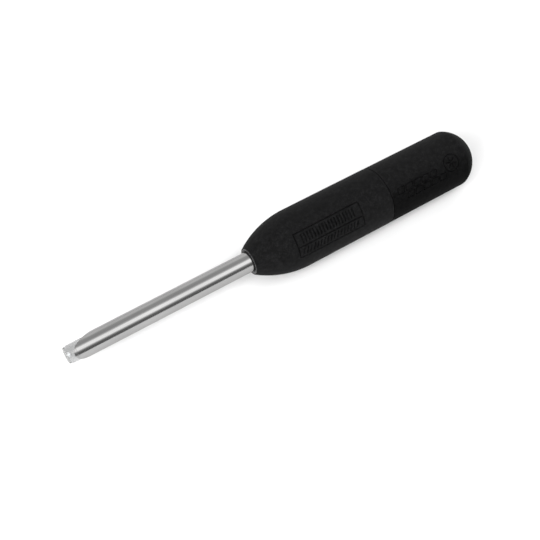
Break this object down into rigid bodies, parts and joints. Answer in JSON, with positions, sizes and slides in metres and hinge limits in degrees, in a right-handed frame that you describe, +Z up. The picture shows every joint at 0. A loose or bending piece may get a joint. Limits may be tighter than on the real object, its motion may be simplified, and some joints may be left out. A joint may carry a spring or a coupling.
{
  "type": "bait punch",
  "caption": "Tubular bait punch: an obliquely cut steel tube, a clear push-out plunger rod inside it and a foam grip split in two, the rear part moving the plunger.",
  "frame": {"origin": "middle of the tool's footprint, on the surface that the front grip touches when the tool lies level", "axes": "+X along the tool's axis from the cutting point to the domed butt, +Z up, +Y to the left of someone looking along +X"},
  "size_m": [0.2304, 0.03, 0.03],
  "materials": {
    "tube_steel": "polished stainless steel, drawn along its length",
    "grip_foam": "matt black closed-cell foam with a fine grain",
    "clear_rod": "clear polished plastic",
    "ferrule_grey": "satin dark grey moulded plastic",
    "natural_plastic": "natural off-white turned plastic",
    "liner_plastic": "dark extruded plastic tube",
    "seal_rubber": "black moulded rubber",
    "spring_steel": "plain steel"
  },
  "bodies": {
    "barrel": {"cutting_tube": "tube_steel", "front_grip": "grip_foam", "mouth_ferrule": "ferrule_grey", "front_liner": "liner_plastic", "tube_bush": "natural_plastic", "tube_circlips": "spring_steel", "end_bush": "natural_plastic", "drag_o_ring": "seal_rubber"},
    "collar": {"stop_collar": "natural_plastic"},
    "plunger": {"plunger_rod": "clear_rod", "rear_core": "liner_plastic", "core_pin": "spring_steel", "buffer_washer": "seal_rubber", "rear_grip": "grip_foam"}
  },
  "joints": [
    {"name": "plunger_slide", "type": "slide", "parent": "barrel", "child": "collar", "axis": [1, 0, 0], "range_m": [0, 0.046]},
    {"name": "plunger_spin", "type": "hinge", "parent": "collar", "child": "plunger", "pos_m": [0, 0, 0.015], "axis": [1, 0, 0], "continuous": true}
  ]
}
